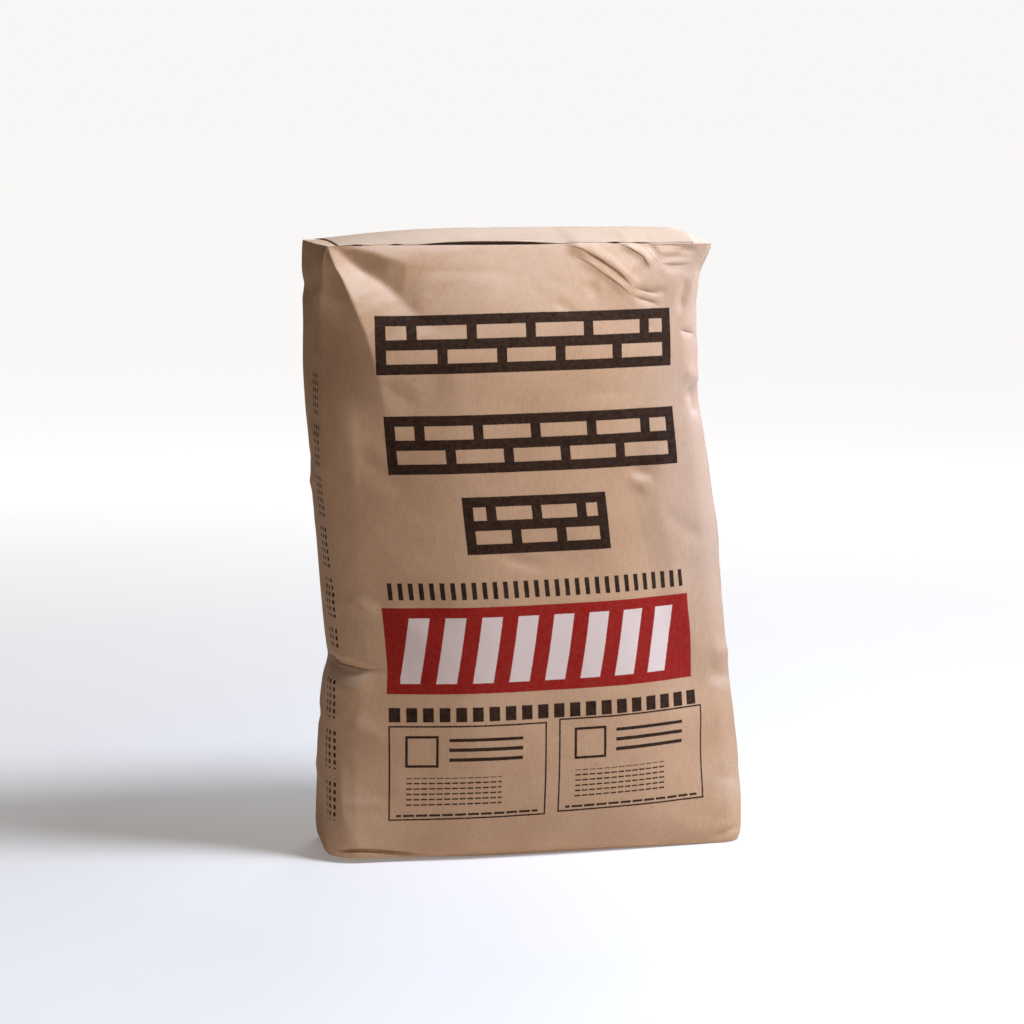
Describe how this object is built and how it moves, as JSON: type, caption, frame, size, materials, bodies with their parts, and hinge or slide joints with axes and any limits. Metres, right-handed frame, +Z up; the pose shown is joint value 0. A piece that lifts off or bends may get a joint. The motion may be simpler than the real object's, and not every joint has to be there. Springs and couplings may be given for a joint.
{
  "type": "cement bag",
  "caption": "Upright block-bottom kraft paper valve sack, filled with cement powder; bulging front, creased pasted ends, flat foot.",
  "frame": {"origin": "bottom centre of the sack's box, on the floor under the pasted foot", "axes": "+Z up through the sack, +X across the printed front to its right, where the valve is, +Y through its depth to the back; the front faces -Y"},
  "size_m": [0.3764, 0.152, 0.5324],
  "materials": {
    "kraft_paper": "unbleached three-ply sack kraft, matt, creased, flexo printed on its faces",
    "cover_paper": "single-ply unbleached kraft, matt",
    "cement": "fine grey powder, matt"
  },
  "bodies": {
    "root": {"paper_sack": "kraft_paper", "valve_sleeve": "cover_paper", "head_cover": "cover_paper", "foot_cover": "cover_paper", "cement_fill": "cement"}
  },
  "joints": []
}
